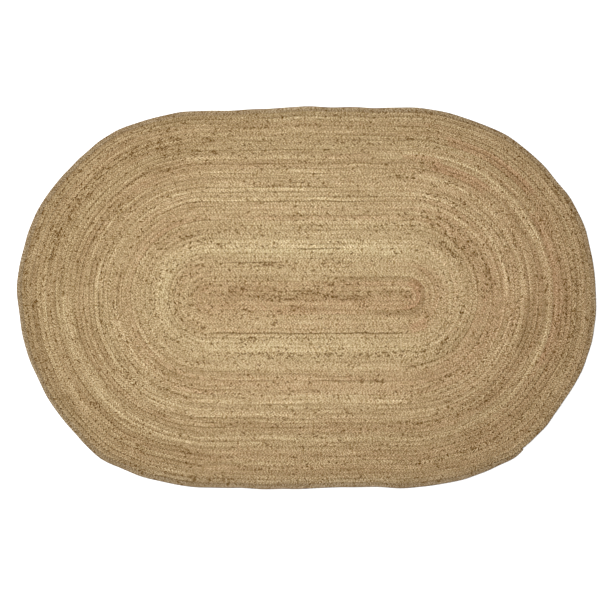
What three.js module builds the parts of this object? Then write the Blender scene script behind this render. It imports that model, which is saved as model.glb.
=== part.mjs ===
// Oval rug made of one long jute braid, wound outwards from a straight core and sewn row to row.
// The rug is one piece: flat underneath, with every row of the braid raised as a rib on top.
// Millimetres, +Z up. The rug lies on z = 0, long side along X, the middle of its box at the origin.

import * as THREE from "three";
import { mergeVertices } from "three/addons/utils/BufferGeometryUtils.js";

// Size of the whole rug before the swells of its edge.
const rugLength = 1800;
const rugWidth = 1191;

// The winding: how many bends the full braid makes, and how finely its lines are stepped.
const bendCount = 80;
const stepsPerStraight = 4;
const stepsPerBend = 22;
const endSteps = 5; // steps that the braid goes on past the last straight before it has tapered out

// Cross-section of one row, as heights over the floor.
const crestHeight = 9;
const grooveHeight = 6.5;
const rimHeight = 4.5; // widest place of the rounded outer edge
const footOut = 0.42; // where the outer edge meets the floor, in rows out from the braid's middle line

// How fast the swells of the edge die out in the rows further in.
const swellFade = 4;

// Swells and hollows that hand sewing left in the edge. lap is the place round the edge in degrees
// of one lap, from the right tip anticlockwise, and push is millimetres outwards.
const edgeSwells = [
  { lap: 0, push: 0 },
  { lap: 10, push: 2.5 },
  { lap: 20, push: 5.5 },
  { lap: 30, push: 0.5 },
  { lap: 42, push: 1 },
  { lap: 55, push: -6 },
  { lap: 65, push: -2.5 },
  { lap: 74, push: -3.5 },
  { lap: 80, push: 0.5 },
  { lap: 86, push: -1 },
  { lap: 91, push: 1.5 },
  { lap: 100, push: -7 },
  { lap: 113, push: -13 },
  { lap: 120, push: -11 },
  { lap: 135, push: 0 },
  { lap: 147, push: -3 },
  { lap: 160, push: 3.5 },
  { lap: 175, push: 4.5 },
  { lap: 186, push: -1.5 },
  { lap: 200, push: -5.5 },
  { lap: 213, push: -2.5 },
  { lap: 222, push: 8 },
  { lap: 231, push: -1 },
  { lap: 240, push: -5.5 },
  { lap: 247, push: -3 },
  { lap: 254, push: -3 },
  { lap: 264, push: 0.5 },
  { lap: 278, push: -4 },
  { lap: 284, push: -7 },
  { lap: 292, push: -3 },
  { lap: 300, push: -5.5 },
  { lap: 311, push: -1 },
  { lap: 319, push: 10.5 },
  { lap: 326, push: 7 },
  { lap: 332, push: 0.5 },
  { lap: 343, push: 4.5 },
  { lap: 350, push: 8 },
];

const juteTan = new THREE.Color("#af956e");
const juteRoughness = 0.95;

// Sizes that follow. Each lap of the braid adds one row on every side, half a row at each end bend.
const rowPitch = rugWidth / (bendCount + 1);
const straightLength = rugLength - (bendCount + 0.5) * rowPitch;
const edgeRadius = rugWidth / 2;
const stepsPerStage = stepsPerStraight + stepsPerBend;
const stepsPerTurn = 2 * stepsPerStage;
const lastStep = bendCount * stepsPerStage + stepsPerStraight + endSteps;
const firstEdgeStep = lastStep - stepsPerTurn;
const rowsToEdge = (bendCount + 1) / 2;

// Push of the edge at a place round the lap, eased from one row of the table to the next.
function edgePush(lap) {
  const place = ((lap % 360) + 360) % 360;
  let after = edgeSwells.findIndex((row) => row.lap > place);
  if (after < 0) {
    after = edgeSwells.length;
  }
  const from = edgeSwells[after - 1];
  const to = edgeSwells[after % edgeSwells.length];
  const span = (to.lap - from.lap + 360) % 360;
  const share = (place - from.lap) / span;
  const ease = (1 - Math.cos(Math.PI * share)) / 2;
  return from.push + (to.push - from.push) * ease;
}

// Place round the lap, in degrees, of a share of a straight or of a bend.
function lapPlace(side, onStraight, share) {
  const lapLength = 2 * (straightLength + Math.PI * edgeRadius);
  const straightLap = (360 * straightLength) / lapLength;
  const bendLap = 180 - straightLap;
  const middle = side < 0 ? 270 : 90;
  const fromMiddle = onStraight ? (share - 0.5) * straightLap : straightLap / 2 + share * bendLap;
  return middle + fromMiddle;
}

// Point on the line that runs rowsOut rows outside the braid's middle line, at one step of the
// winding. A stage is one straight and the bend after it: the bottom straight and the right bend,
// then the top straight and the left bend.
function linePoint(step, rowsOut, height) {
  const stage = Math.floor(step / stepsPerStage);
  const stepInStage = step - stage * stepsPerStage;
  const side = Math.abs(stage) % 2 === 0 ? -1 : 1;
  const spread = (stage / 2 + rowsOut) * rowPitch;
  const onStraight = stepInStage <= stepsPerStraight;
  const point = new THREE.Vector3(0, 0, height);
  const outward = new THREE.Vector3(0, side, 0);
  let share = stepInStage / stepsPerStraight;
  if (onStraight) {
    point.x = -side * (share - 0.5) * straightLength;
    point.y = side * (rowPitch / 4 + spread);
  } else {
    share = (stepInStage - stepsPerStraight) / stepsPerBend;
    const angle = Math.PI * (side / 2 + share);
    const radius = spread + rowPitch / 2;
    outward.set(Math.cos(angle), Math.sin(angle), 0);
    point.x = (-side * straightLength) / 2 + radius * outward.x;
    point.y = (-side * rowPitch) / 4 + radius * outward.y;
  }
  const depth = Math.max(0, step / stepsPerTurn + rowsOut) / rowsToEdge;
  const push = edgePush(lapPlace(side, onStraight, share)) * depth ** swellFade;
  return point.addScaledVector(outward, push);
}

// The braid's three lines: its crest, the groove or rim on its outer side, and its foot on the floor.
// At its last step the braid has tapered out against the row inside it.
function groovePoint(step) {
  if (step === lastStep) {
    return groovePoint(firstEdgeStep);
  }
  return linePoint(step, 0.5, step < firstEdgeStep ? grooveHeight : rimHeight);
}

function crestPoint(step) {
  return step === lastStep ? groovePoint(step) : linePoint(step, 0, crestHeight);
}

function footPoint(step) {
  return linePoint(step === lastStep ? firstEdgeStep : step, footOut, 0);
}

// The closed skin of the rug, as a list of triangle corners.
function rugCorners() {
  const corners = [];
  const addTriangle = (a, b, c) => {
    if (!a.equals(b) && !b.equals(c) && !c.equals(a)) {
      corners.push(a, b, c);
    }
  };
  const addQuad = (a, b, c, d) => {
    addTriangle(a, b, c);
    addTriangle(a, c, d);
  };

  // Round end of the braid at the core.
  for (let step = -stepsPerBend; step < 0; step += 1) {
    addTriangle(crestPoint(0), groovePoint(step), groovePoint(step + 1));
  }

  // The rows: up from the groove of the row inside, over the crest and down to the row's own groove.
  for (let step = 0; step < lastStep; step += 1) {
    const inner = groovePoint(step - stepsPerTurn);
    const innerNext = groovePoint(step + 1 - stepsPerTurn);
    addQuad(inner, crestPoint(step), crestPoint(step + 1), innerNext);
    addQuad(crestPoint(step), groovePoint(step), groovePoint(step + 1), crestPoint(step + 1));
  }

  // The outer edge, tucked in to the floor, and the flat underside.
  const feet = [];
  for (let step = firstEdgeStep; step < lastStep; step += 1) {
    addQuad(groovePoint(step), footPoint(step), footPoint(step + 1), groovePoint(step + 1));
    feet.push(footPoint(step));
  }
  for (const [a, b, c] of THREE.ShapeUtils.triangulateShape(feet, [])) {
    addTriangle(feet[c], feet[b], feet[a]);
  }
  return corners;
}

function makeRug() {
  const skin = mergeVertices(new THREE.BufferGeometry().setFromPoints(rugCorners()));
  skin.computeVertexNormals();
  skin.computeBoundingBox();
  const jute = new THREE.MeshStandardMaterial({ color: juteTan, roughness: juteRoughness, metalness: 0 });
  const rug = new THREE.Mesh(skin, jute);
  const middle = skin.boundingBox.getCenter(new THREE.Vector3());
  rug.name = "braided_rug";
  rug.position.set(-middle.x, -middle.y, 0);
  return rug;
}

const ovalRug = new THREE.Group();
ovalRug.add(makeRug());

export default ovalRug;
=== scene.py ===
import math

import bpy
import numpy as np
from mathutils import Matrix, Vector


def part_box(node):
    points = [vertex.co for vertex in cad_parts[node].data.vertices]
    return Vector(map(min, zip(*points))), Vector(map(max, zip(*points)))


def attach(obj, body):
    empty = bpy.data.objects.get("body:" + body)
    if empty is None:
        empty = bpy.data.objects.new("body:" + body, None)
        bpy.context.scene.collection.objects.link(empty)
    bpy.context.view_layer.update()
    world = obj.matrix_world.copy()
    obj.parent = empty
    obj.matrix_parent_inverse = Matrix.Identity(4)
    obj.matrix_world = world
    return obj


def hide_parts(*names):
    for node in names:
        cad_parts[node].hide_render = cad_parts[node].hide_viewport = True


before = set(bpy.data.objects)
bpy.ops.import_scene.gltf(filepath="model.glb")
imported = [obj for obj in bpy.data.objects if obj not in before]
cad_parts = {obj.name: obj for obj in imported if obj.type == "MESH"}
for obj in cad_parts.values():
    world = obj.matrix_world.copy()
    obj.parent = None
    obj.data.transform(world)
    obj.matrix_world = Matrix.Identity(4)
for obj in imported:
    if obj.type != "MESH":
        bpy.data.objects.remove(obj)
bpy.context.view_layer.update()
rugNode = "braided_rug"
mm = 0.001

# The oval winding of the braid. Its sizes and the swells of its edge are those of the solid rug.
winding = {
    "length": 1.800,  # sides of the rug before the swells of its edge
    "width": 1.191,
    "bends": 80,
    "tipAngle": 37,  # degrees that the braid runs on round its last bend, to where the solid tapers
    "straightShare": 2 / 11,  # part of each half lap that its straight counts for
    "swellFade": 4,  # how fast the swells die out in the rows further in
    # place round the lap in degrees anticlockwise from the right tip, and push outwards in mm
    "edgeSwells": [
        (0, 0), (10, 2.5), (20, 5.5), (30, 0.5), (42, 1), (55, -6), (65, -2.5), (74, -3.5),
        (80, 0.5), (86, -1), (91, 1.5), (100, -7), (113, -13), (120, -11), (135, 0), (147, -3),
        (160, 3.5), (175, 4.5), (186, -1.5), (200, -5.5), (213, -2.5), (222, 8), (231, -1),
        (240, -5.5), (247, -3), (254, -3), (264, 0.5), (278, -4), (284, -7), (292, -3), (300, -5.5),
        (311, -1), (319, 10.5), (326, 7), (332, 0.5), (343, 4.5), (350, 8), (360, 0),
    ],
    # slow waves of the sewn rows: push in mm, and wave lengths in metres along x and y
    "waves": [(0.7, 0.31, 0.23), (0.5, 0.17, -0.21), (0.45, -0.12, 0.15), (0.35, 0.09, 0.11)],
    "waveStarts": (13, 29),  # where they start for the sway along x and y, for each mm of push
    "waveStretch": 0.83,  # rate of the sway along y against that along x
}

# The braid itself. Heights in mm, places across in widths of the row, from its middle line.
braid = {
    "lobe": 0.011,  # length of one turn of a strand on either side of the plait
    "slant": 1.15,  # how far a strand runs back from the middle to the side, in row widths
    "slantIn": 0.030,  # length over which the slant sets in at the start, and dies out at the end
    "slantOut": 0.040,
    "stationsPerLobe": 4,
    "fullStretches": 4,  # long pieces outside the first one, which is the short core
    "lobesPerStretch": 2484,
    "middle": (0.07, 6.5),  # sway of the zigzag line, and its height
    "inner": (0.20, 6.6, 2.3),  # place across, height, and what the lobe adds
    "shoulder": (0.36, 5.5, 2.4),
    "side": (0.50, 5.2, 1.4),
    "rim": (0.48, 3.2, 0.8),  # the free side of the last lap
    "under": (0.30, 0.9),  # place across of the underside's bulge, and its rise between lobes
    "keel": 1.2,  # height of the middle of the underside
    "shoulderReach": (0.06, 0.02),  # what a lobe adds across, and what an open groove takes away
    "sideReach": (0.05, 0.6),  # what a lobe adds across, and the share lost where the side is free
    "underReach": 0.03,
    "shoulderSink": 1.4,  # how far an open groove lowers the shoulder, and the side
    "sideSink": 2.2,
    "rimGrooveShade": 0.6,  # painted shade: the free side is darkened as a groove this far open, for the shadow line along the edge
    "rimLap": 4,  # degrees of lap in which a sewn side turns into the free one
    "roundness": 0.7,
    "lobeSizes": (0.75, 1.15),
    "uneven": 0.12,  # lobes longer and shorter, in lobes
    "evenEnds": 4,  # lobes at either end over which that dies out
    "grooves": (0.05, -0.7, 0.5),  # usual opening, tightest one, and the strength of both
    "seed": 41,
}
# The end of the braid tapers against the row inside it, and its start is rounded.
braidTips = {
    "taper": 11,  # degrees of the last bend
    "endWidth": 0.35,
    "endCurve": 0.7,
    "endThickness": 0.45,
    "startShare": 0.04,  # how far into the round start the first section lies
    "startThickness": 0.35,
}
# Slow random changes along the braid, each the sum of waves: length in lobes, lowest and highest.
driftWaves = {
    "jitter": [(3.7, -1, 1)],
    "width": [(21, 0.99, 1.05)],
    "height": [(13, -0.35, 0.35), (90, -0.3, 0.3)],
    "tone": [(17, -0.15, 0.15), (110, -0.35, 0.35)],
    "sideTone": [(5, -0.2, 0.2), (14, -0.25, 0.25), (60, -0.4, 0.4)],
    "redness": [(110, -0.2, 0.2)],
    "rowFlecks": [(6, -0.2, 1.6)],
    "strayFlecks": [(30, -0.8, 0.35)],
    "groove": [(7, -0.45, 0.45), (45, -0.55, 0.55)],
}
drawnLobes = 11380  # as many lobes as random values are drawn for, a few more than there are
spareKnots = 4  # random values drawn past the last lobe, of a drift and of the lobe sizes
spareLobes = 3
turnStart = 248  # lap in degrees where the count of a turn starts, as the lower straight does
turnMargin = 10  # laps so few degrees short of a full turn belong to the turn before

# The points of a section: where each lies, as the colours count it, from the zigzag line at 0 over
# the outer side at 0.5 to the middle of the underside at 1, and the inner side likewise below 0.
sectionSpots = [
    (0, "middle"), (0.2, "inner"), (0.38, "shoulder"), (0.5, "side"), (0.8, "under"),
    (1, "keel"), (-0.8, "under"), (-0.5, "side"), (-0.38, "shoulder"), (-0.2, "inner"),
]

rowPitch = winding["width"] / (winding["bends"] + 1)
straight = winding["length"] - (winding["bends"] + 0.5) * rowPitch
rowsToEdge = (winding["bends"] + 1) / 2
bendArcs = math.pi * rowPitch / 2 * np.arange(1, winding["bends"] + 2)
stageStarts = np.concatenate([[0], np.cumsum(straight + bendArcs)])[:-1]
braidStart = -rowPitch / 2
braidEnd = stageStarts[-1] + straight + bendArcs[-1] * winding["tipAngle"] / 180
straightLap = 180 * straight / (straight + math.pi * winding["width"] / 2)


def edgePush(lap):
    places, pushes = (np.array(column, float) for column in zip(*winding["edgeSwells"]))
    lap = np.mod(lap, 360)
    low = np.searchsorted(places, lap, side="right") - 1
    share = (lap - places[low]) / (places[low + 1] - places[low])
    return mm * (pushes[low] + (pushes[low + 1] - pushes[low]) * (1 - np.cos(math.pi * share)) / 2)


def followBraid(along):
    # Where the braid's middle line is: a stage is one straight and the bend after it.
    stage = np.clip(np.searchsorted(stageStarts, along, side="right") - 1, 0, None)
    onStage = along - stageStarts[stage]
    side = np.where(stage % 2 == 0, -1.0, 1.0)
    onStraight = onStage < straight
    share = np.where(onStraight, onStage / straight, (onStage - straight) / bendArcs[stage])
    lapMiddle = np.where(side < 0, 270, 90)
    bendLap = lapMiddle + straightLap / 2 + share * (180 - straightLap)
    lap = np.where(onStraight, lapMiddle + (share - 0.5) * straightLap, bendLap)
    part = winding["straightShare"]
    turn = (stage + np.where(onStraight, part * share, part + (1 - part) * share)) / 2
    angle = math.pi * (side / 2 + np.where(onStraight, 0, share))
    return stage, side, onStraight, share, lap, turn, angle


def placeOnRug(along, rowsOut):
    # A point of the rug by its length along the braid and its rows out from the braid's middle.
    stage, side, onStraight, share, lap, turn, angle = followBraid(along)
    outX, outY = np.cos(angle), np.sin(angle)
    spread = (stage / 2 + rowsOut) * rowPitch
    bendRadius = spread + rowPitch / 2
    bendX = -side * straight / 2 + bendRadius * outX
    bendY = -side * rowPitch / 4 + bendRadius * outY
    x = np.where(onStraight, -side * (share - 0.5) * straight, bendX)
    y = np.where(onStraight, side * (rowPitch / 4 + spread), bendY)
    depth = np.maximum(0, turn + rowsOut) / rowsToEdge
    push = edgePush(lap) * depth ** winding["swellFade"]
    x, y = x + outX * push, y + outY * push
    swayX, swayY = 0, 0
    startX, startY = winding["waveStarts"]
    for size, overX, overY in winding["waves"]:
        phase = 2 * math.pi * (x / overX + y / overY)
        swayX = swayX + mm * size * np.sin(phase + startX * size)
        swayY = swayY + mm * size * np.sin(phase * winding["waveStretch"] + startY * size)
    return x + swayX, y + swayY


def drift(chance, along, wave, low, high):
    # A smooth random value along the braid, new about every wave.
    knots = chance.uniform(low, high, int(drawnLobes / wave) + spareKnots)
    place = np.maximum(along / wave + 1, 0)
    first = np.floor(place).astype(int)
    ease = (1 - np.cos(math.pi * (place - first))) / 2
    return knots[first] + (knots[first + 1] - knots[first]) * ease


def drifts(chance, along, name):
    return sum(drift(chance, along, *wave) for wave in driftWaves[name])


def readTable(table, places):
    # The values of a table of places and values, in between as well.
    return np.interp(places, *zip(*table))


# How the rows differ, set one by one and corrected against tones measured in the photo. A depth is
# 0 at the middle of the rug and 1 at its edge, and a lap is in degrees from the right tip
# anticlockwise. The first tables go by depth or by lap.
rowTones = [
    (0, 0.25), (0.03, 0.25), (0.075, 0), (0.125, 0.55), (0.175, 0.55), (0.225, 1), (0.275, 1.6),
    (0.325, 0.5), (0.375, 0.35), (0.425, 0.2), (0.475, 0.35), (0.525, 0.6), (0.575, 0.45),
    (0.625, -0.1), (0.675, -0.5), (0.725, -0.75), (0.775, -0.3), (0.825, -0.85), (0.875, -0.5),
    (0.925, -1.15), (0.963, -1.75), (0.985, -2.5), (1, -2.5),
]
# how much the rows differ from each other
rowContrasts = [
    (0, 0.55), (0.33, 0.65), (0.45, 0.9), (0.6, 1.05), (0.75, 1), (1, 0.95),
]
rowReds = [
    (0, 0.25), (0.04, 0.25), (0.08, 0.15), (0.13, -0.1), (0.18, -0.1), (0.23, -0.4), (0.28, -0.3),
    (0.38, -0.1), (0.43, 0.1), (0.53, -0.1), (0.6, -0.1), (0.68, 0.2), (0.73, -0.2), (0.9, -0.1),
    (0.95, -0.2), (1, -0.5),
]
rowGreys = [
    (0, 0), (0.88, 0.05), (0.93, 0.1), (0.963, 0.15), (0.987, 0.8), (1, 0.8),
]
# painted light: each lap lighter or darker by how the light falls on rows that run that way
lapLightTones = [
    (0, -0.4), (45, -0.2), (65, 0.15), (95, 0.4), (113, -0.25), (150, -0.35), (200, -0.3),
    (245, -0.1), (262, 0.3), (280, 0.2), (295, -0.2), (330, -0.45), (360, -0.4),
]
lapReds = [
    (0, 0.35), (45, 0.25), (75, -0.05), (110, -0.05), (135, 0.15), (180, -0.1), (225, 0.05),
    (290, 0.1), (315, 0.25), (360, 0.35),
]
# how clearly the strands stand out
lapGrain = [
    (0, 0.9), (30, 0.58), (55, 0.58), (72, 1.15), (90, 1.3), (108, 1.1), (120, 0.46), (150, 0.46),
    (180, 0.64), (210, 0.56), (245, 0.53), (256, 1.15), (270, 1.35), (285, 1.15), (300, 0.54),
    (330, 0.53), (360, 0.9),
]
# Single stretches of row that stand out: depth, first lap, last lap and strength.
palerRows = [
    (0.10, 0, 70, 0.6), (0.24, 69, 180, 0.4), (0.27, 69, 180, 0.5), (0.30, 75, 160, 0.4),
    (0.35, 69, 112, 0.6), (0.395, 50, 95, 0.6), (0.423, 69, 112, 0.6), (0.48, 20, 64, 0.6),
    (0.52, 79, 135, 0.8), (0.525, 0, 69, 0.7), (0.543, 52, 77, 0.5), (0.565, 91, 132, 0.7),
    (0.633, 0, 64, 0.7), (0.66, 0, 37, 0.6), (0.67, 78, 125, 0.7), (0.69, 28, 57, 0.6),
    (0.69, 69, 92, 0.6), (0.727, 0, 40, 0.8), (0.74, 69, 120, 0.8), (0.72, 132, 160, 0.6),
    (0.757, 0, 69, 0.9), (0.85, 0, 29, 0.6), (0.93, 40, 100, 0.5), (0.357, 189, 221, 0.6),
    (0.37, 229, 292, 0.6), (0.42, 235, 272, 0.6), (0.50, 180, 224, 0.8), (0.515, 260, 283, 0.6),
    (0.547, 243, 292, 0.7), (0.60, 180, 249, 0.6), (0.623, 225, 267, 0.7), (0.68, 234, 249, 0.7),
    (0.73, 180, 360, 0.9), (0.757, 180, 260, 0.8), (0.757, 344, 360, 0.8), (0.945, 237, 253, 0.7),
    (0.97, 229, 292, 0.7), (0.865, 172, 215, 0.6), (0.89, 172, 212, 0.4), (0.585, 165, 212, 0.5),
    (0.912, 335, 390, 0.6), (0.548, 345, 372, 0.5), (0.6, 340, 385, 0.4),
]
darkerRows = [
    (0.006, 252, 282, 1.0), (0.02, 76, 112, 0.6), (0.045, 97, 108, 1.0), (0.02, 60, 75, 0.9),
    (0.05, 266, 276, 1.0), (0.08, 285, 443, 1.2), (0.205, 112, 122, 0.9), (0.123, 112, 124, 0.7),
    (0.16, 0, 57, 0.6), (0.34, 69, 112, 0.6), (0.413, 76, 109, 0.7), (0.577, 85, 100, 0.7),
    (0.57, 130, 172, 0.5), (0.727, 76, 87, 0.8), (0.165, 196, 228, 0.6), (0.22, 203, 232, 0.6),
    (0.305, 180, 189, 0.5), (0.41, 235, 272, 0.6), (0.555, 226, 234, 0.8), (0.565, 346, 360, 0.7),
    (0.64, 329, 360, 0.6), (0.68, 249, 292, 0.6), (0.82, 209, 249, 0.6), (0.89, 341, 360, 0.6),
    (0.93, 180, 209, 0.6), (0.93, 253, 306, 0.6), (0.955, 237, 253, 0.6), (0.915, 172, 212, 0.9),
    (0.84, 170, 186, 0.5), (0.621, 160, 205, 0.6), (0.474, 165, 195, 0.6), (0.632, 340, 390, 0.8),
    (0.715, 345, 375, 0.6),
]
redderRows = [
    (0.727, 76, 87, 0.4), (0.71, 40, 60, 0.6), (0.695, 40, 60, 0.6), (0.84, 30, 57, 0.5),
    (0.86, 30, 57, 0.5), (0.07, 20, 57, 0.8), (0.09, 20, 57, 0.8), (0.73, 57, 69, 0.7),
    (0.045, 292, 360, 0.7), (0.065, 292, 360, 0.8), (0.075, 263, 283, 0.4), (0.15, 297, 321, 0.6),
    (0.175, 297, 321, 0.6), (0.77, 340, 385, 0.5), (0.795, 340, 385, 0.5),
]
speckledRows = [
    (0.006, 250, 284, 1.0), (0.02, 76, 112, 0.7), (0.045, 97, 108, 0.8), (0.02, 60, 75, 0.8),
    (0.075, 76, 108, 0.4), (0.32, 20, 48, 0.7), (0.345, 20, 48, 0.7), (0.32, 112, 127, 0.7),
    (0.345, 112, 127, 0.7), (0.288, 115, 130, 0.6), (0.38, 0, 71, 0.5), (0.405, 0, 71, 0.5),
    (0.425, 0, 71, 0.4), (0.45, 134, 141, 0.7), (0.83, 112, 172, 0.8), (0.855, 112, 172, 0.8),
    (0.85, 0, 11, 0.6), (0.88, 0, 11, 0.6), (0.845, 55, 71, 0.7), (0.95, 25, 32, 0.8),
    (0.24, 252, 263, 0.7), (0.305, 180, 189, 0.7), (0.311, 249, 292, 0.7), (0.308, 292, 360, 0.5),
    (0.489, 180, 209, 0.6), (0.865, 290, 333, 0.7), (0.865, 346, 360, 0.7),
]
openGrooves = [
    (0.265, 83, 93, 1.0), (0.18, 97, 108, 0.6), (0.16, 0, 57, 0.3), (0.507, 79, 135, 0.5),
    (0.064, 292, 360, 0.3), (0.185, 249, 292, 0.95), (0.355, 292, 318, 0.5), (0.357, 318, 360, 0.3),
    (0.43, 274, 286, 0.5), (0.485, 297, 303, 0.6), (0.475, 303, 309, 0.6), (0.462, 309, 315, 0.6),
    (0.453, 315, 321, 0.6), (0.633, 235, 267, 0.45), (0.985, 237, 283, 0.4), (0.577, 85, 100, 0.3),
]
# what a paler or darker row does to the tone of its strands, on its inner and on its outer side
rowMarks = {"paler": (2.2, 0.5), "darker": (-0.6, -1.8)}
sidePaleness = 0.15  # how much paler the outer side of every row is than its middle


def rowsFromMiddle(along):
    # Rows from the middle of the rug to the braid, and its lap counted on from turn to turn.
    stage, side, onStraight, share, lap, turn, angle = followBraid(along)
    quarter = np.where(onStraight, 0.25, 0.5 + 0.25 * side * -np.sin(angle))
    inTurn = np.mod(lap - turnStart, 360)
    lapSoFar = turnStart + 360 * (stage // 2) + inTurn
    turnBefore = (stage % 2 == 0) & (inTurn > 360 - turnMargin)
    return stage / 2 + quarter, np.where(turnBefore, lapSoFar - 360, lapSoFar)


def stretchesOf(rows, along, shift=0.0, fade=0.02):
    # How strongly each station of the braid is in one of the listed stretches.
    out, lapSoFar = rowsFromMiddle(along)
    strength = np.zeros(len(along))
    laps = turnStart + 360 * np.arange(0, winding["bends"] // 2 + 2)
    for depth, fromLap, toLap, value in rows:
        starts = laps + (fromLap - turnStart) % 360
        startAlong = np.interp(starts, lapSoFar, along)
        best = np.argmin(np.abs(np.interp(startAlong, along, out) - depth * rowsToEdge - shift))
        endAlong = np.interp(starts[best] + toLap - fromLap, lapSoFar, along)
        inside = np.minimum(along - startAlong[best], endAlong - along) / fade + 0.5
        strength = np.maximum(strength, value * np.clip(inside, 0, 1))
    return strength


def layBraid():
    # The whole braid station by station: its points, and the values that its colours are mixed by.
    chance = np.random.default_rng(braid["seed"])
    lobeCount = np.arange(allLobes * braid["stationsPerLobe"] + 1) / braid["stationsPerLobe"]
    along = braidStart + lobeCount * lobeLength
    jitter = drifts(chance, lobeCount, "jitter") * braid["uneven"] * lobeLength
    inEnds = np.clip(np.minimum(lobeCount, allLobes - lobeCount) / braid["evenEnds"], 0, 1)
    width = drifts(chance, lobeCount, "width")
    height = drifts(chance, lobeCount, "height")
    outerSizes = chance.uniform(*braid["lobeSizes"], drawnLobes + spareLobes)
    innerSizes = chance.uniform(*braid["lobeSizes"], drawnLobes + spareLobes)
    outerLobe = np.abs(np.sin(math.pi * (lobeCount + 0.5))) ** braid["roundness"]
    innerLobe = np.abs(np.sin(math.pi * lobeCount)) ** braid["roundness"]
    outerLobe = outerLobe * outerSizes[np.floor(lobeCount + 0.5).astype(int)]
    innerLobe = innerLobe * innerSizes[np.floor(lobeCount).astype(int)]

    # tones of the strands, and the stretches that stand out
    out, lapSoFar = rowsFromMiddle(along)
    depth, lap = out / rowsToEdge, np.mod(lapSoFar, 360)
    contrast = readTable(rowContrasts, depth)
    tone = readTable(rowTones, depth) + readTable(lapLightTones, lap)
    tone += contrast * drifts(chance, lobeCount, "tone")
    sideTone = drifts(chance, lobeCount, "sideTone") * contrast + sidePaleness
    paler, darker = stretchesOf(palerRows, along), stretchesOf(darkerRows, along)
    innerTone, outerTone = (
        tone + sign * sideTone + forPaler * paler + forDarker * darker
        for sign, forPaler, forDarker in zip((-1, 1), rowMarks["paler"], rowMarks["darker"])
    )
    redness = stretchesOf(redderRows, along) + readTable(lapReds, lap) + readTable(rowReds, depth)
    redness += drifts(chance, lobeCount, "redness")
    rowFlecks = np.maximum(0, drifts(chance, lobeCount, "rowFlecks"))
    flecks = stretchesOf(speckledRows, along) * rowFlecks
    flecks += np.maximum(0, drifts(chance, lobeCount, "strayFlecks"))

    # grooves: each is shared by the outer side of a row and the inner side of the next turn
    usual, tightest, strength = braid["grooves"]
    opening = usual + contrast * drifts(chance, lobeCount, "groove")
    opening = np.maximum(opening, tightest) * strength
    outerGroove = opening + stretchesOf(openGrooves, along, shift=-0.5)
    innerGroove = np.interp(lapSoFar - 360, lapSoFar, opening)
    innerGroove += stretchesOf(openGrooves, along, shift=0.5)
    onRim = np.clip((lapSoFar - (lapSoFar[-1] - 360)) / braid["rimLap"], 0, 1)

    # the two tips
    endLength = bendArcs[-1] * braidTips["taper"] / 180
    toEnd = np.clip((along[-1] - along) / endLength, 0, 1)
    endWidth = braidTips["endWidth"] + (1 - braidTips["endWidth"]) * toEnd ** braidTips["endCurve"]
    startShare = np.clip((along - braidStart) / (rowPitch / 2), braidTips["startShare"], 1)
    startWidth = np.sqrt(1 - (1 - startShare) ** 2)
    thick = braidTips["endThickness"] + (1 - braidTips["endThickness"]) * toEnd
    thick *= braidTips["startThickness"] + (1 - braidTips["startThickness"]) * startWidth
    slant = braid["slant"] * rowPitch * np.clip((along - braidStart) / braid["slantIn"], 0, 1)
    slant *= np.clip((along[-1] - along) / braid["slantOut"], 0, 1)

    points = np.zeros((len(along), len(sectionSpots), 3))
    for spot, (place, part) in enumerate(sectionSpots):
        onOuterSide = place > 0
        lobe = outerLobe if onOuterSide else innerLobe
        groove = outerGroove if onOuterSide else innerGroove
        free = onRim if onOuterSide else 0.0
        if part == "middle":
            across, up = braid["middle"][0] * (innerLobe - outerLobe), braid["middle"][1] + height
        elif part == "inner":
            across, low, rise = braid["inner"]
            up = low + rise * lobe + height
        elif part == "shoulder":
            across, low, rise = braid["shoulder"]
            across = across + braid["shoulderReach"][0] * lobe - braid["shoulderReach"][1] * groove
            up = low + rise * lobe + height - braid["shoulderSink"] * groove
        elif part == "side":
            pairs = zip(braid["side"], braid["rim"])
            across, low, rise = (sewn + free * (rim - sewn) for sewn, rim in pairs)
            across = across + braid["sideReach"][0] * lobe * (1 - braid["sideReach"][1] * free)
            up = low + rise * lobe + height - braid["sideSink"] * groove
        elif part == "under":
            across = braid["under"][0] + braid["underReach"] * lobe
            up = braid["under"][1] * (1 - np.minimum(1, lobe))
        else:
            across, up = 0.0, braid["keel"]
        across = across * (1 if place >= 0 else -1) * width
        rowsOut = (endWidth * (across + 0.5) - 0.5) * startWidth
        back = slant * min(abs(place), 1 - abs(place))
        x, y = placeOnRug(along + jitter * inEnds - back, rowsOut)
        points[:, spot] = np.stack([x, y, mm * up * thick], axis=1)

    # the colour values of every point
    toneBySide = {1: outerTone, 0: (innerTone + outerTone) / 2, -1: innerTone}
    # painted shade along the rug's edge: the free side of the last lap is coloured as an open
    # groove
    rimGrooveShade = outerGroove + braid["rimGrooveShade"] * onRim
    values = {
        "tone": [toneBySide[np.sign(place)] for place, part in sectionSpots],
        "groove": [rimGrooveShade if place > 0 else innerGroove for place, part in sectionSpots],
    }
    rowValues = {
        "redness": redness, "flecks": flecks, "grain": readTable(lapGrain, lap),
        "grey": readTable(rowGreys, depth), "contrast": contrast,
    }
    for key, value in rowValues.items():
        values[key] = [value] * len(sectionSpots)
    return points, lobeCount, {key: np.stack(value, axis=1) for key, value in values.items()}


foldRows = 23  # rows that a stretch of braid is folded into for a picture of its colours
capSize = 0.35  # size of the caps in that picture, as a share of the strip between two points
capPlaces = (0.25, 0.5)  # where the two caps lie in it
capColour = (0.9, 0.02)  # place on the braid's underside that colours a cap, and how far it spreads


def quadUvs(left, right, low, high):
    # The UV corners of all quads from the sides of their rectangles.
    corners = ((left, low), (right, low), (right, high), (left, high))
    return np.stack([np.stack(corner, -1) for corner in corners], axis=2).reshape(-1, 2)


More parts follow.
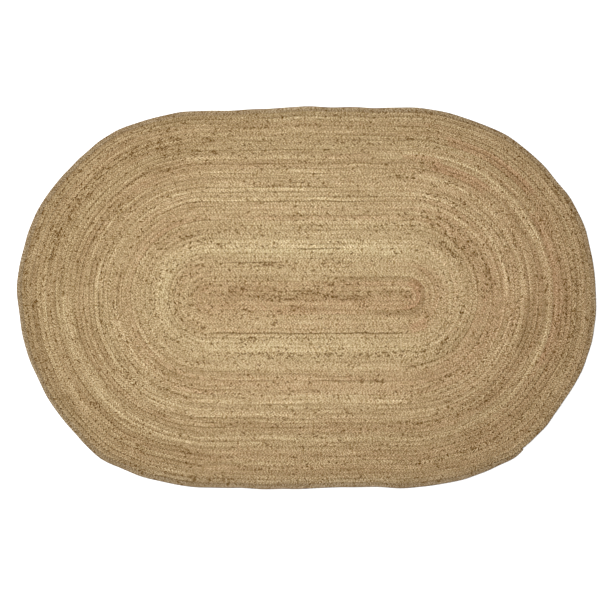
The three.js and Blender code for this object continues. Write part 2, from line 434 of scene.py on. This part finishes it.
def meshBraid(name, points, lobeCount, values):
    # A stretch of the braid as a closed tube, with a fan of triangles over each end.
    stations, around = points.shape[:2]
    tips = [points[0].mean(axis=0), points[-1].mean(axis=0)]
    corners = np.concatenate([points.reshape(-1, 3), tips])
    station, spot = np.meshgrid(np.arange(stations - 1), np.arange(around), indexing="ij")
    nextSpot = (spot + 1) % around
    quads = np.stack([
        station * around + spot, (station + 1) * around + spot,
        (station + 1) * around + nextSpot, station * around + nextSpot,
    ], axis=-1).reshape(-1, 4)
    spots = np.arange(around)
    nextSpots = (spots + 1) % around
    lastRing = (stations - 1) * around
    startTip, endTip = np.full(around, stations * around), np.full(around, stations * around + 1)
    startCap = np.stack([startTip, spots, nextSpots], axis=1)
    endCap = np.stack([endTip, lastRing + nextSpots, lastRing + spots], axis=1)

    # the place along and across the braid, for its colours
    places = np.array([place for place, part in sectionSpots], float)
    fromPlaces, toPlaces = np.where(places == 1, -1, places), np.roll(places, -1)
    alongs = lobeCount[station], lobeCount[station + 1]
    braidUv = quadUvs(*alongs, fromPlaces[spot], toPlaces[spot])

    # the same strip folded into rows of a square, for a picture of the colours
    perRow = math.ceil((stations - 1) / foldRows)
    row, column = station // perRow, station % perRow
    low = (row + (spot + 0.5) / (around + 1)) / foldRows
    high = (row + (spot + 1.5) / (around + 1)) / foldRows
    foldedUv = quadUvs(column / perRow, (column + 1) / perRow, low, high)

    # the caps in both
    spin = 2 * math.pi * np.arange(around + 1) / around
    circle = np.stack([np.cos(spin), np.sin(spin)], axis=1)
    fan = np.stack([0 * circle[1:], circle[:-1], circle[1:]], axis=1).reshape(-1, 2)
    size = capSize / foldRows / (around + 1)
    colourPlace, colourReach = capColour
    capBraid = [fan * colourReach + (count, colourPlace) for count in (lobeCount[0], lobeCount[-1])]
    capFolded = [fan * size + (place, size) for place in capPlaces]

    quadCorners = corners[quads]
    halves = np.concatenate([quadCorners[:, [0, 1, 2]], quadCorners[:, [0, 2, 3]]])
    volume = np.einsum("ij,ij->i", halves[:, 0], np.cross(halves[:, 1], halves[:, 2])).sum()
    faceCorners = np.concatenate([quads.ravel(), startCap.ravel(), endCap.ravel()])
    loopBraid = np.concatenate([braidUv, *capBraid])
    loopFolded = np.concatenate([foldedUv, *capFolded])
    sizes = np.repeat([4, 3], [len(quads), 2 * around])
    starts = np.concatenate([[0], np.cumsum(sizes)[:-1]])
    if volume < 0:
        loops = np.arange(len(faceCorners))
        quadLoops, capLoops = loops[:quads.size].reshape(-1, 4), loops[quads.size:].reshape(-1, 3)
        order = np.concatenate([quadLoops[:, ::-1].ravel(), capLoops[:, ::-1].ravel()])
        faceCorners, loopBraid, loopFolded = faceCorners[order], loopBraid[order], loopFolded[order]

    mesh = bpy.data.meshes.new(name)
    mesh.vertices.add(len(corners))
    mesh.vertices.foreach_set("co", corners.astype(np.float32).ravel())
    mesh.loops.add(len(faceCorners))
    mesh.loops.foreach_set("vertex_index", faceCorners.astype(np.int32))
    mesh.polygons.add(len(sizes))
    mesh.polygons.foreach_set("loop_start", starts.astype(np.int32))
    mesh.update(calc_edges=True)
    mesh.polygons.foreach_set("use_smooth", np.ones(len(sizes), bool))
    for layerName, layerUv in (("braid", loopBraid), ("OFBake", loopFolded)):
        layer = mesh.uv_layers.new(name=layerName)
        layer.uv.foreach_set("vector", layerUv.astype(np.float32).ravel())
    mesh.uv_layers["braid"].active = True
    mesh.uv_layers["braid"].active_render = True
    for key, value in values.items():
        layer = mesh.attributes.new(key, "FLOAT", "POINT")
        perCorner = np.append(value, [value[0, 0], value[-1, -1]])
        layer.data.foreach_set("value", perCorner.astype(np.float32))
    mesh.validate()
    piece = bpy.data.objects.new(name, mesh)
    bpy.context.scene.collection.objects.link(piece)
    return piece


# Colours, and how they are mixed. Rates are per lobe along the braid and per row width across it.
jute = {
    "pale": (0.530, 0.411, 0.2490),
    "dark": (0.178, 0.1047, 0.0335),
    # the deep brown that the painted shade in the crevices goes to
    "creviceShadeColour": (0.115, 0.058, 0.012),
    "fleck": (0.062, 0.030, 0.006),
    "middleTone": 0.463,
    "rowToneAndLight": (1.135, 1.165, 1.2),  # red, green and blue gain of one step of row tone, the painted light of the laps included
    "streakRate": (0.08, 2.4),  # thin streaks in a row
    "streakTone": 4.2,
    "threadRate": (0.4, 5.4),  # fine threads of tone along the row
    "threadTone": 1.2,
    "strandRate": 0.07,  # slow changes of each strand
    "strandTone": 0.35,
    "strandHue": 1.6,
    "lobeTone": 0.15,
    "fibreRate": (24.0, 2.5),
    "fibreTone": 1.0,
    "bundleRate": (5.0, 4.0),
    "bundleTone": 0.6,
    "tuftRate": (4.2, 6.0),
    "tuftLightTone": 1.75,
    "tuftShade": 0.24,  # how far the shaded side of a tuft lies from its lit side, in lobes
    "tuftEdge": 0.16,
    "twist": 0.6,  # how far the fibres drift over a strand's run, in lobes
    "redTint": (1.0, 0.88, 0.89),
    "oliveTint": (0.955, 1.0, 0.985),
    "greyTint": (0.92, 1.0, 1.22),
    "barkRate": (1.5, 2.0),
    "barkChance": (0.066, 0.6),  # of a fleck in any place, and what a speckled stretch adds
    "barkMost": 0.6,
    "barkRagged": 0.25,
    "barkSizes": (0.65, 0.8),  # smallest fleck, and what chance adds
    "barkEdge": (0.26, 0.38),
    "barkDepth": 0.95,
    "haloEdge": (0.28, 0.6),  # soft shade round a fleck
    "haloShade": 0.3,
    "creaseShade": 0.52,
    "creaseWidth": (0.07, 0.24),
    "creaseByGrain": 0.5,  # share of the crease's shade that goes with the grain
    "middleWidth": 0.07,
    "middleShade": 0.22,
    "sideEdge": (0.15, 0.52),
    "sideShade": 0.17,
    "sideClosed": 0.5,  # share of the side's shade that a closed groove keeps
    "grooveEdge": (0.30, 0.42),
    "grooveShade": 0.35,
    "holeEdge": (0.10, 0.26),  # painted shade of the holes where a crease meets the groove
    "holeShade": 0.9,
    "holeStretch": 1.3,
    "holeOpen": (0.15, 1.4),  # share of a hole in a closed groove, and what its opening adds
    "deepHue": (0.05, 0.18),  # how much sooner green and blue go out in the painted shade of the crevices and in the flecks
    "deepest": 0.05,
    "fleckDepth": 0.9,
    "roughness": 0.93,
    "shine": 0.0,
    "bumpHeights": (0.5, 0.5, 0.38),  # of the fibres, the bundles and the round back of a strand
    "bumpRoundness": 0.6,
    "bumpDistance": 0.0014,
    "bumpStrength": 0.9,
}
# Fixed numbers that keep the random patterns apart from each other.
patternSeeds = {
    "strand": 17.3, "tuftLight": 50.0, "thread": 57.0, "streak": 31.0, "lobe": 3.0, "crease": 6.0,
    "bark": 7.0,
}


def braidColours():
    material = bpy.data.materials.new("juteBraid")
    material.use_nodes = True
    tree = material.node_tree
    shader = tree.nodes["Principled BSDF"]

    def wire(value, socket):
        if hasattr(value, "is_linked"):
            tree.links.new(value, socket)
        else:
            socket.default_value = value

    def calc(operation, *inputs, clamp=False):
        node = tree.nodes.new("ShaderNodeMath")
        node.operation = operation
        node.use_clamp = clamp
        for value, socket in zip(inputs, node.inputs):
            wire(value, socket)
        return node.outputs[0]

    def plus(first, second, clamp=False):
        return calc("ADD", first, second, clamp=clamp)

    def minus(first, second):
        return calc("SUBTRACT", first, second)

    def times(first, second, clamp=False):
        return calc("MULTIPLY", first, second, clamp=clamp)

    def spot(x=0.0, y=0.0, z=0.0):
        node = tree.nodes.new("ShaderNodeCombineXYZ")
        for value, socket in zip((x, y, z), node.inputs):
            wire(value, socket)
        return node.outputs[0]

    def spotAt(rate, z, alongBy=None):
        # A place in a pattern that goes along and across the braid at these rates.
        x = times(along if alongBy is None else alongBy, rate[0])
        return spot(x, times(across, rate[1]), z)

    def ramp(value, edge, atLow=0.0, atHigh=1.0):
        node = tree.nodes.new("ShaderNodeMapRange")
        node.interpolation_type = "SMOOTHSTEP"
        for socket, given in zip(node.inputs, (value, *edge, atLow, atHigh)):
            wire(given, socket)
        return node.outputs[0]

    def noise(place, detail=0.0, roughness=0.5):
        node = tree.nodes.new("ShaderNodeTexNoise")
        wire(place, node.inputs["Vector"])
        node.inputs["Scale"].default_value = 1.0
        node.inputs["Detail"].default_value = detail
        node.inputs["Roughness"].default_value = roughness
        return node.outputs["Fac"]

    def dice(place):
        node = tree.nodes.new("ShaderNodeTexWhiteNoise")
        wire(place, node.inputs["Vector"])
        return node.outputs["Value"]

    def cells(place):
        node = tree.nodes.new("ShaderNodeTexVoronoi")
        node.voronoi_dimensions = "2D"
        wire(place, node.inputs["Vector"])
        node.inputs["Scale"].default_value = 1.0
        chances = tree.nodes.new("ShaderNodeSeparateXYZ")
        tree.links.new(node.outputs["Color"], chances.inputs[0])
        return node.outputs["Distance"], chances.outputs[0], chances.outputs[1]

    def blendColours(share, first, second, kind="MIX"):
        node = tree.nodes.new("ShaderNodeMix")
        node.data_type = "RGBA"
        node.blend_type = kind
        wire(share, node.inputs[0])
        for value, socket in ((first, node.inputs[6]), (second, node.inputs[7])):
            wire((*value, 1.0) if isinstance(value, tuple) else value, socket)
        return node.outputs[2]

    def tinted(share, colour, tint):
        return blendColours(share, colour, blendColours(1.0, colour, tint, "MULTIPLY"))

    def painted(name):
        node = tree.nodes.new("ShaderNodeAttribute")
        node.attribute_name = name
        return node.outputs["Fac"]

    uvMap = tree.nodes.new("ShaderNodeUVMap")
    uvMap.uv_map = "braid"
    parts = tree.nodes.new("ShaderNodeSeparateXYZ")
    tree.links.new(uvMap.outputs[0], parts.inputs[0])
    along, across = parts.outputs[0], parts.outputs[1]
    grain, opening = painted("grain"), painted("groove")

    # which lobe of which of the three strands this is, and how far across it
    isOuter = calc("GREATER_THAN", across, 0.0)
    lobePlace = plus(along, times(isOuter, 0.5))
    lobe = calc("FLOOR", lobePlace)
    inLobe = minus(lobePlace, lobe)
    strand = calc("MODULO", plus(times(lobe, 2.0), isOuter), 3.0)
    strandSpot = times(plus(strand, 1.0), patternSeeds["strand"])
    reach = calc("ABSOLUTE", across)
    toCrease = calc("MINIMUM", inLobe, minus(1.0, inLobe))
    lobeChance = dice(spot(lobe, isOuter, patternSeeds["lobe"]))
    creaseChance = dice(spot(lobe, isOuter, patternSeeds["crease"]))

    # fibres run with the strand and drift over it, in bundles, and in tufts with painted light and
    # shade
    drifted = plus(along, times(reach, jute["twist"]))
    fibre = noise(spotAt(jute["fibreRate"], strandSpot, drifted), detail=3.0, roughness=0.65)
    bundle = noise(spotAt(jute["bundleRate"], strandSpot, drifted), detail=1.0)
    # painted light and shade: each tuft is lit on one side and shaded on the other, a noise less
    # its shifted copy
    tuftSpot = plus(patternSeeds["tuftLight"], strandSpot)
    lit, shaded = (
        noise(spotAt(jute["tuftRate"], tuftSpot, plus(drifted, side)))
        for side in (0.0, jute["tuftShade"])
    )
    tuftLight = ramp(minus(lit, shaded), (-jute["tuftEdge"], jute["tuftEdge"]))
    strandChance = noise(spot(times(along, jute["strandRate"]), strandSpot), detail=2.0)
    thread = noise(spotAt(jute["threadRate"], patternSeeds["thread"]))
    tone = jute["middleTone"]
    for value, share in (
        (thread, times(grain, jute["threadTone"])),
        (lobeChance, jute["lobeTone"]),
        (strandChance, jute["strandTone"]),
        (bundle, times(grain, jute["bundleTone"])),
        (fibre, times(grain, jute["fibreTone"])),
        (tuftLight, times(grain, jute["tuftLightTone"])),
    ):
        tone = plus(tone, times(minus(value, 0.5), share))
    colour = blendColours(plus(tone, 0.0, clamp=True), jute["dark"], jute["pale"])
    streak = noise(spotAt(jute["streakRate"], patternSeeds["streak"]))
    streak = times(minus(streak, 0.5), times(painted("contrast"), jute["streakTone"]))
    rowTone = plus(painted("tone"), streak)
    rowToneAndLight = spot(*(calc("POWER", channel, rowTone) for channel in jute["rowToneAndLight"]))
    colour = blendColours(1.0, colour, rowToneAndLight, "MULTIPLY")

    # some stretches are redder and some more olive, and the last row is greyer
    hue = plus(painted("redness"), times(minus(strandChance, 0.5), jute["strandHue"]))
    colour = tinted(plus(hue, 0.0, clamp=True), colour, jute["redTint"])
    colour = tinted(times(hue, -1.0, clamp=True), colour, jute["oliveTint"])
    colour = tinted(painted("grey"), colour, jute["greyTint"])

    # dark bits of bark in short streaks along the fibres
    barkAcross = plus(times(across, jute["barkRate"][1]), times(isOuter, patternSeeds["bark"]))
    barkSpot = spot(times(along, jute["barkRate"][0]), barkAcross)
    barkDistance, barkChance, barkSize = cells(barkSpot)
    likely = plus(times(painted("flecks"), jute["barkChance"][1]), jute["barkChance"][0])
    barkHere = calc("LESS_THAN", barkChance, calc("MINIMUM", jute["barkMost"], likely))
    fromBark = plus(barkDistance, times(minus(fibre, 0.5), jute["barkRagged"]))
    barkScale = plus(jute["barkSizes"][0], times(barkSize, jute["barkSizes"][1]))
    fromBark = calc("DIVIDE", fromBark, barkScale)
    fleckShare = times(barkHere, ramp(fromBark, jute["barkEdge"], jute["barkDepth"], 0.0))
    colour = blendColours(fleckShare, colour, jute["fleck"])

    # painted shade: crevices between strands and rows, the middle line, grooves and holes darken to
    # deep brown
    narrowest, widest = jute["creaseWidth"]
    creaseReach = plus(narrowest, times(creaseChance, widest - narrowest))
    crease = ramp(toCrease, (0.0, creaseReach), jute["creaseShade"], 0.0)
    byGrain = times(grain, jute["creaseByGrain"])
    crease = times(crease, plus(1 - jute["creaseByGrain"], byGrain))
    middle = ramp(reach, (0.0, jute["middleWidth"]), jute["middleShade"], 0.0)
    sideDepth = times(plus(jute["sideClosed"], opening, clamp=True), jute["sideShade"])
    sides = times(ramp(reach, jute["sideEdge"]), sideDepth)
    groove = times(times(opening, ramp(reach, jute["grooveEdge"])), jute["grooveShade"])
    fromSide = times(minus(0.5, reach), jute["holeStretch"])
    fromHole = calc("SQRT", plus(times(fromSide, fromSide), times(toCrease, toCrease)))
    holeOpen = plus(jute["holeOpen"][0], times(opening, jute["holeOpen"][1]), clamp=True)
    hole = times(ramp(fromHole, jute["holeEdge"], jute["holeShade"], 0.0), holeOpen)
    halo = times(barkHere, ramp(fromBark, jute["haloEdge"], jute["haloShade"], 0.0))
    light = 1.0
    for shade in (crease, middle, sides, groove, hole, halo):
        light = times(light, minus(1.0, shade))
    colour = blendColours(light, jute["creviceShadeColour"], colour)
    # the painted shade of the crevices, and the bark flecks, turn a more saturated brown as they
    # darken
    fleckLevel = minus(1.0, times(fleckShare, jute["fleckDepth"]))
    shadeAndFleckLevel = times(calc("MAXIMUM", light, jute["deepest"]), fleckLevel)
    deepHue = spot(1.0, *(calc("POWER", shadeAndFleckLevel, power) for power in jute["deepHue"]))
    colour = blendColours(1.0, colour, deepHue, "MULTIPLY")
    wire(colour, shader.inputs["Base Color"])

    # fibres and the round back of each strand
    roundBack = calc("POWER", calc("SINE", times(inLobe, math.pi)), jute["bumpRoundness"])
    forFibre, forBundle, forBack = jute["bumpHeights"]
    height = plus(times(fibre, forFibre), times(bundle, forBundle))
    height = plus(height, times(roundBack, forBack))
    bump = tree.nodes.new("ShaderNodeBump")
    bump.inputs["Distance"].default_value = jute["bumpDistance"]
    bump.inputs["Strength"].default_value = jute["bumpStrength"]
    wire(height, bump.inputs["Height"])
    wire(bump.outputs[0], shader.inputs["Normal"])
    shader.inputs["Roughness"].default_value = jute["roughness"]
    shader.inputs["Specular IOR Level"].default_value = jute["shine"]
    return material


# the braid, as one short core and long stretches that run on from it
allLobes = round((braidEnd - braidStart) / braid["lobe"])
lobeLength = (braidEnd - braidStart) / allLobes
coreLobes = allLobes - braid["fullStretches"] * braid["lobesPerStretch"]
print("braid:", round(braidEnd - braidStart, 2), "m,", allLobes, "lobes,", coreLobes, "in the core")
stretchLobes = [coreLobes] + [braid["lobesPerStretch"]] * braid["fullStretches"]
stretchNames = ["braid_core", "braid_inner", "braid_middle", "braid_outer", "braid_edge"]
points, lobeCount, colourValues = layBraid()

low, high = points.min(axis=(0, 1)), points.max(axis=(0, 1))
nodeLow, nodeHigh = (np.array(corner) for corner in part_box(rugNode))
moveBy = (nodeLow + nodeHigh) / 2 - (low + high) / 2
moveBy[2] = nodeLow[2] - low[2]
print("braid box", (high - low).round(4), "solid box", (nodeHigh - nodeLow).round(4))

juteBraid = braidColours()
firstStation = 0
for name, lobes in zip(stretchNames, stretchLobes):
    lastStation = firstStation + lobes * braid["stationsPerLobe"]
    pick = slice(firstStation, lastStation + 1)
    values = {key: value[pick] for key, value in colourValues.items()}
    piece = meshBraid(name, points[pick] + moveBy, lobeCount[pick], values)
    piece.data.materials.append(juteBraid)
    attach(piece, "root")
    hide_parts(rugNode)
    print(name, len(piece.data.polygons), "faces,", round(lobes * lobeLength, 2), "m")
    firstStation = lastStation

# floor, light and camera
studio = {
    "floorSize": 14,
    "floorDrop": 0.0004,  # how far the floor lies under the rug
    "floorAlbedo": 0.92,
    "floorRoughness": 0.95,
    "floorShine": 0.1,
    "sky": 0.62,
    "lamp": 325,
    "lampPlace": (-1.5, 0.95, 4.8),
    "lampSize": 3.0,
    "rugTop": 0.009,
    "cameraHeight": 5.19,  # over the top of the rug
    "cameraPlace": (-0.0199, -0.0072),
    "lens": 100,
    "sensor": 36,
    "farthest": 50,
}
bpy.ops.object.select_all(action="DESELECT")
floorPlace = (0, 0, -studio["floorDrop"])
bpy.ops.mesh.primitive_plane_add(size=studio["floorSize"], location=floorPlace)
floor = bpy.context.object
floor.name = "floor"
bpy.ops.object.transform_apply(location=True, rotation=True, scale=True)
floorWhite = bpy.data.materials.new("floorWhite")
floorWhite.use_nodes = True
floorShader = floorWhite.node_tree.nodes["Principled BSDF"]
floorShader.inputs["Base Color"].default_value = (studio["floorAlbedo"],) * 3 + (1,)
floorShader.inputs["Roughness"].default_value = studio["floorRoughness"]
floorShader.inputs["Specular IOR Level"].default_value = studio["floorShine"]
floor.data.materials.append(floorWhite)

world = bpy.data.worlds.new("studioSky")
world.use_nodes = True
background = world.node_tree.nodes["Background"]
background.inputs["Color"].default_value = (1, 1, 1, 1)
background.inputs["Strength"].default_value = studio["sky"]
bpy.context.scene.world = world

lampData = bpy.data.lights.new("softLamp", "AREA")
lampData.energy = studio["lamp"]
lampData.size = studio["lampSize"]
lamp = bpy.data.objects.new("softLamp", lampData)
lamp.location = studio["lampPlace"]
lamp.rotation_euler = (-Vector(studio["lampPlace"])).to_track_quat("-Z", "Y").to_euler()
bpy.context.scene.collection.objects.link(lamp)

cameraData = bpy.data.cameras.new("overhead")
cameraData.lens = studio["lens"]
cameraData.sensor_width = studio["sensor"]
cameraData.clip_end = studio["farthest"]
camera = bpy.data.objects.new("overhead", cameraData)
camera.location = (*studio["cameraPlace"], studio["rugTop"] + studio["cameraHeight"])
bpy.context.scene.collection.objects.link(camera)
bpy.context.scene.camera = camera
bpy.context.scene.view_settings.view_transform = "Standard"
